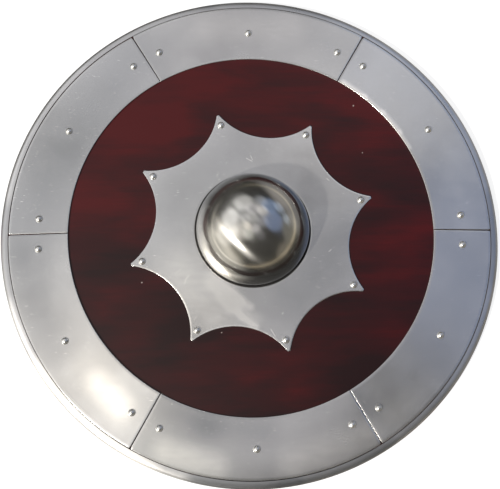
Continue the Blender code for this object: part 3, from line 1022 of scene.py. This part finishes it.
# Soft round panels of light about the shield, which add up where they overlap: azimuth from
# +X towards +Y, elevation, half width, width of the soft edge (all in degrees) and radiance
PANELS = (
    ("zenith_glow", 192, 77, 5, 10, (1.22, 1.14, 1.03)),
    ("zenith_back", 100, 76, 9, 9, (0.51, 0.51, 0.51)),
    ("zenith_left", 145, 71, 8, 9, (0.38, 0.38, 0.39)),
    ("zenith_right", 22, 74, 10, 9, (0.32, 0.32, 0.35)),
    ("zenith_front", 290, 81, 7, 9, (0.76, 0.74, 0.76)),
    ("front_right", 300, 66, 8, 9, (0.10, 0.10, 0.11)),
    ("front_left", 238, 68, 9, 10, (0.73, 0.73, 0.69)),
    ("over_left", 168, 62, 11, 10, (0.33, 0.33, 0.33)),
    ("over_back_left", 128, 58, 12, 10, (0.36, 0.36, 0.37)),
    ("over_back", 92, 58, 11, 10, (0.46, 0.45, 0.48)),
    ("over_back_right", 60, 58, 9, 8, (0.78, 0.76, 0.75)),
    ("cloud_left", 160, 40, 16, 10, (1.10, 1.09, 1.09)),
    ("cloud_back", 112, 39, 15, 10, (0.66, 0.66, 0.66)),
    ("cloud_middle", 134, 37, 13, 10, (0.32, 0.32, 0.32)),
    ("cloud_right", 74, 40, 9, 9, (0.34, 0.35, 0.38)),
    ("streak_shoulder", 196, 48, 9, 9, (1.00, 0.98, 0.94)),
    ("key_halo", 205, 56, 13, 14, (0.65, 0.61, 0.57)),
    ("left_window", 194, 27, 17, 14, (0.86, 0.82, 0.76)),
    ("left_fill", 176, 12, 13, 12, (0.40, 0.38, 0.35)),
    ("low_key", 232, 14, 16, 16, (0.24, 0.22, 0.18)),
    ("blue", 12, 50, 18, 8, (0.18, 0.24, 0.40)),
    ("blue_back", 52, 40, 13, 8, (0.19, 0.27, 0.44)),
    ("puff_back", 37, 27, 8, 6, (0.36, 0.42, 0.53)),
    ("puff_right", 14, 22, 7, 6, (0.32, 0.38, 0.48)),
    ("right_wall", 0, 12, 20, 14, (0.18, 0.17, 0.145)),
    ("right_back", 50, 8, 16, 12, (0.11, 0.10, 0.09)),
    ("front_low", 325, 8, 12, 12, (0.18, 0.16, 0.13)),
    ("left_below", 215, -20, 40, 20, (0.80, 0.76, 0.68)),
    ("right_below", 40, -20, 40, 20, (0.25, 0.24, 0.24)),
)

# A low band of light round the horizon, on three sides: azimuth, half width and radiance.
# The heights, as sines of the elevation, are those where it fades and where it is full
HORIZON = (
    ("front", 310, 45, (1.08, 0.90, 0.62)),
    ("right", 50, 45, (0.30, 0.27, 0.19)),
    ("left", 200, 45, (0.81, 0.76, 0.68)),
)
HORIZON_SOFT = 60
HORIZON_HEIGHTS = (0.05, 0.015)

# The key light, with its width in degrees
KEY_AZIMUTH = 218
KEY_ELEVATION = 40
KEY_WIDTH = 3
KEY_STRENGTH = 3.8
KEY_COLOUR = (1.0, 0.95, 0.87)

# A soft strip of light through the key light's place. It is part of a circle round the
# place given, at that angle from it, and reaches that far to both sides of the key light
STRIP_AZIMUTH = 223
STRIP_ELEVATION = -26
STRIP_ANGLE = 64
STRIP_WIDTH = 10
STRIP_REACH = 36
STRIP_COLOUR = (1.0, 0.97, 0.91)

# The noise that makes the panels' edges uneven: its size and how far it moves them
CLOUD_SIZE = 0.30
CLOUD_DRIFT = 0.16


def soft_cap(tree, way, azimuth, elevation, half_width, soft):
    """1 within a cap of the sky, 0 outside it, with a soft edge."""
    toward = vector_maths(tree, "DOT_PRODUCT", way, sky_direction(azimuth, elevation))
    outer = math.cos(math.radians(half_width + soft / 2))
    inner = math.cos(math.radians(half_width - soft / 2))
    return ranged(tree, toward, outer, inner, smooth=True)


def soft_strip(tree, way):
    """1 along the bent strip and 0 outside it, with soft sides and ends."""
    toward = vector_maths(tree, "DOT_PRODUCT", way, sky_direction(STRIP_AZIMUTH, STRIP_ELEVATION))
    angle = maths(tree, "ARCCOSINE", toward)
    off = maths(tree, "SUBTRACT", angle, math.radians(STRIP_ANGLE))
    off = maths(tree, "ABSOLUTE", off)
    across = ranged(tree, off, math.radians(STRIP_WIDTH), 0.0, smooth=True)
    along = soft_cap(tree, way, KEY_AZIMUTH, KEY_ELEVATION, STRIP_REACH, STRIP_REACH)
    return maths(tree, "MULTIPLY", across, along)


def drifted(tree, way):
    """The direction moved a little by noise."""
    cloud = node(
        tree, "ShaderNodeTexNoise",
        {"Vector": way, "Scale": 1 / CLOUD_SIZE, "Detail": 5.0, "Roughness": 0.6},
    ).outputs["Color"]
    drift = vector_maths(tree, "SUBTRACT", cloud, (0.5, 0.5, 0.5))
    moved = vector_maths(tree, "MULTIPLY_ADD", drift, (CLOUD_DRIFT, CLOUD_DRIFT, CLOUD_DRIFT), way)
    return vector_maths(tree, "NORMALIZE", moved)


def horizon_glows(tree, way):
    """Share and radiance of each side of the horizon's band."""
    height = node(tree, "ShaderNodeSeparateXYZ", {"Vector": way}).outputs["Z"]
    band = ranged(tree, maths(tree, "ABSOLUTE", height), *HORIZON_HEIGHTS, smooth=True)
    glows = []
    for _, azimuth, half_width, radiance in HORIZON:
        side = soft_cap(tree, way, azimuth, 0, half_width, HORIZON_SOFT)
        glows.append((maths(tree, "MULTIPLY", band, side), radiance))
    return glows


def make_world():
    world = bpy.data.worlds.new("studio")
    world.use_nodes = True
    bpy.context.scene.world = world
    tree = world.node_tree
    way = node(tree, "ShaderNodeTexCoord").outputs["Generated"]
    uneven = drifted(tree, way)
    glows = [(soft_strip(tree, way), STRIP_COLOUR)] + horizon_glows(tree, way)
    for _, azimuth, elevation, half_width, soft, radiance in PANELS:
        glows.append((soft_cap(tree, uneven, azimuth, elevation, half_width, soft), radiance))
    colour = ROOM_COLOUR
    for share, radiance in glows:
        colour = vector_maths(tree, "ADD", colour, scaled(tree, radiance, share))
    tree.links.new(colour, tree.nodes["Background"].inputs["Color"])


def make_key_light():
    data = bpy.data.lights.new("key", "SUN")
    data.energy = KEY_STRENGTH
    data.color = KEY_COLOUR
    data.angle = math.radians(KEY_WIDTH)
    key = bpy.data.objects.new("key", data)
    toward = sky_direction(KEY_AZIMUTH, KEY_ELEVATION)
    key.rotation_euler = toward.to_track_quat("Z", "Y").to_euler()
    bpy.context.scene.collection.objects.link(key)


def main():
    make_camera()
    make_world()
    make_key_light()
    make_floor()
    bpy.context.scene.view_settings.view_transform = "Standard"
    red_wood = stained_wood(
        "red_wood", (0.012, 0.0032, 0.0037), (0.026, 0.0028, 0.0036), (0.052, 0.0026, 0.0034),
        0.34, fade=0.55, specks=WOOD_SPECKS,
    )
    grip_wood = stained_wood(
        "grip_wood", (0.030, 0.011, 0.006), (0.070, 0.028, 0.015), (0.12, 0.05, 0.026),
        0.5, turn=STAR_TURN,
    )
    edging_steel = steel(
        "edging_steel", (0.60, 0.60, 0.61), 0.28, ways="round",
        painted_highlight=EDGING_PAINTED_HIGHLIGHT, shade=EDGING_PAINTED_SHADE,
    )
    plate_steel = steel(
        "plate_steel", (0.60, 0.60, 0.605), 0.22, stretch=0.6, waves=0.00012, scuffed=True,
        painted_highlight=PLATE_PAINTED_HIGHLIGHT, shade=PLATE_PAINTED_SHADE,
    )
    star_steel = steel(
        "star_steel", (0.61, 0.61, 0.615), 0.2, stretch=0.3, waves=0.00015, scuffed=True,
        scratches=STAR_SCRATCHES, painted_highlight=STAR_PAINTED_HIGHLIGHT, shade=STAR_PAINTED_SHADE,
    )
    boss_steel = steel(
        "boss_steel", (0.60, 0.59, 0.56), 0.14, stretch=0.9, spread=0.02, matte=0.03,
        # Painted shade colour for the boss's foot
        foot_shade=(0.22, 0.22, 0.215),
    )
    # Painted shade: the flange in the gap round the boss is coloured near-black for the shadow there
    painted_gap_shade, _ = plain_material("painted_gap_shade", (0.010, 0.009, 0.009), 0.8)
    make_board(red_wood)
    make_edging(edging_steel)
    for number in range(1, PLATE_COUNT + 1):
        make_border_plate(number, plate_steel)
    make_star_plate(star_steel)
    make_boss(boss_steel, painted_gap_shade)
    make_rivets(steel("rivet_steel", (0.68, 0.68, 0.67), 0.28))
    make_grip(grip_wood)


main()
